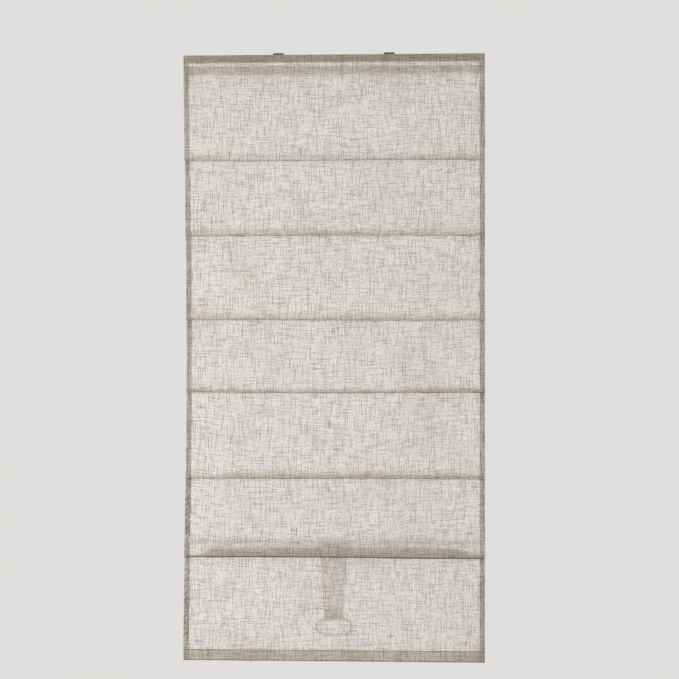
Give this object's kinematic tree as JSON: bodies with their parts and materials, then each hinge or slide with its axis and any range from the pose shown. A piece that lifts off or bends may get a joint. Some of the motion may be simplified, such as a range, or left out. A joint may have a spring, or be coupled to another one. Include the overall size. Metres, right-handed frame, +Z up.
{
  "type": "roman blind",
  "caption": "Flat-fold cordless roman blind in slubbed linen cloth, with soft fold lines, a spring-lifted head rail on brackets and a pull ring behind the skirt.",
  "frame": {"origin": "centre of the four screw holes, on the top faces of the brackets", "axes": "+X along the rail to the right as seen from the room, +Y from the room to the window, +Z up"},
  "size_m": [0.808, 0.0656, 1.632],
  "materials": {
    "linen_cloth": "slubbed linen weave",
    "tab_ribbon": "sheer woven",
    "rail_aluminium": "white coated",
    "bracket_steel": "dark zinc plated",
    "sewn_tape": "hook and loop pile",
    "white_plastic": "moulded",
    "fibreglass": "pultruded",
    "spring_steel": "rolled strip",
    "shaft_steel": "drawn",
    "ring_plastic": "smooth",
    "lift_cord": "braided"
  },
  "bodies": {
    "headrail": {"head_rail": "rail_aluminium", "end_cap_left": "white_plastic", "end_cap_right": "white_plastic", "bracket_left": "bracket_steel", "bracket_right": "bracket_steel", "rivet_left": "bracket_steel", "rivet_right": "bracket_steel", "hook_tape": "sewn_tape", "loop_tape": "sewn_tape", "motor_frame": "white_plastic", "motor_cover": "white_plastic", "drive_spring": "spring_steel", "spool_cradle_left": "white_plastic", "spool_cradle_right": "white_plastic", "cord_grommet_left": "white_plastic", "cord_grommet_right": "white_plastic", "lift_cord_left": "lift_cord", "lift_cord_right": "lift_cord", "shade_cloth": "linen_cloth"},
    "lift_bar": {"lift_bar": "shaft_steel", "lift_bar_tips": "white_plastic", "cord_anchors": "white_plastic", "bottom_bar": "fibreglass", "skirt_cloth": "linen_cloth", "pull_tab": "tab_ribbon"},
    "rod_1": {"rod_1": "fibreglass", "rod_tips_1": "white_plastic", "cord_eyelets_1": "white_plastic"},
    "rod_2": {"rod_2": "fibreglass", "rod_tips_2": "white_plastic", "cord_eyelets_2": "white_plastic"},
    "rod_3": {"rod_3": "fibreglass", "rod_tips_3": "white_plastic", "cord_eyelets_3": "white_plastic"},
    "rod_4": {"rod_4": "fibreglass", "rod_tips_4": "white_plastic", "cord_eyelets_4": "white_plastic"},
    "rod_5": {"rod_5": "fibreglass", "rod_tips_5": "white_plastic", "cord_eyelets_5": "white_plastic"},
    "lift_shaft": {"lift_shaft": "shaft_steel", "spool_left": "white_plastic", "spool_right": "white_plastic", "output_drum": "white_plastic", "cord_turns_left": "lift_cord", "cord_turns_right": "lift_cord"},
    "storage_drum": {"storage_drum": "white_plastic"},
    "pull_ring": {"pull_ring": "ring_plastic"},
    "latch_left": {"latch_left": "bracket_steel"},
    "latch_right": {"latch_right": "bracket_steel"}
  },
  "joints": [
    {"name": "blind_lift", "type": "slide", "parent": "headrail", "child": "lift_bar", "axis": [0, 0, 1], "range_m": [0, 1.05], "deforming": ["shade_cloth", "lift_cord_left", "lift_cord_right"]},
    {"name": "rod_1_lift", "type": "slide", "parent": "headrail", "child": "rod_1", "axis": [0, 0, 1], "range_m": [0, 0.2094]},
    {"name": "rod_2_lift", "type": "slide", "parent": "headrail", "child": "rod_2", "axis": [0, 0, 1], "range_m": [0, 0.374]},
    {"name": "rod_3_lift", "type": "slide", "parent": "headrail", "child": "rod_3", "axis": [0, 0, 1], "range_m": [0, 0.5591]},
    {"name": "rod_4_lift", "type": "slide", "parent": "headrail", "child": "rod_4", "axis": [0, 0, 1], "range_m": [0, 0.7204]},
    {"name": "rod_5_lift", "type": "slide", "parent": "headrail", "child": "rod_5", "axis": [0, 0, 1], "range_m": [0, 0.908]},
    {"name": "shaft_turn", "type": "hinge", "parent": "headrail", "child": "lift_shaft", "pos_m": [0, -0.0074, -0.017], "axis": [-1, 0, 0], "range_deg": [0, 9120]},
    {"name": "storage_drum_turn", "type": "hinge", "parent": "headrail", "child": "storage_drum", "pos_m": [0, 0.0096, -0.017], "axis": [1, 0, 0], "range_deg": [0, 7600]},
    {"name": "ring_swing", "type": "hinge", "parent": "lift_bar", "child": "pull_ring", "pos_m": [0, -0.0193, -1.516], "axis": [1, 0, 0], "range_deg": [0, 90]},
    {"name": "latch_left_turn", "type": "hinge", "parent": "headrail", "child": "latch_left", "pos_m": [-0.149, 0, -0.0082], "axis": [0, 0, 1], "range_deg": [0, 90]},
    {"name": "latch_right_turn", "type": "hinge", "parent": "headrail", "child": "latch_right", "pos_m": [0.149, 0, -0.0082], "axis": [0, 0, -1], "range_deg": [0, 90]}
  ],
  "couplings": [
    {"joint": "rod_1_lift", "follows": "blind_lift", "ratio": 0.19891},
    {"joint": "rod_2_lift", "follows": "blind_lift", "ratio": 0.35569},
    {"joint": "rod_3_lift", "follows": "blind_lift", "ratio": 0.53198},
    {"joint": "rod_4_lift", "follows": "blind_lift", "ratio": 0.68565},
    {"joint": "rod_5_lift", "follows": "blind_lift", "ratio": 0.86428},
    {"joint": "shaft_turn", "follows": "blind_lift", "rad_per_m": 151.52},
    {"joint": "storage_drum_turn", "follows": "blind_lift", "rad_per_m": 126.26}
  ]
}
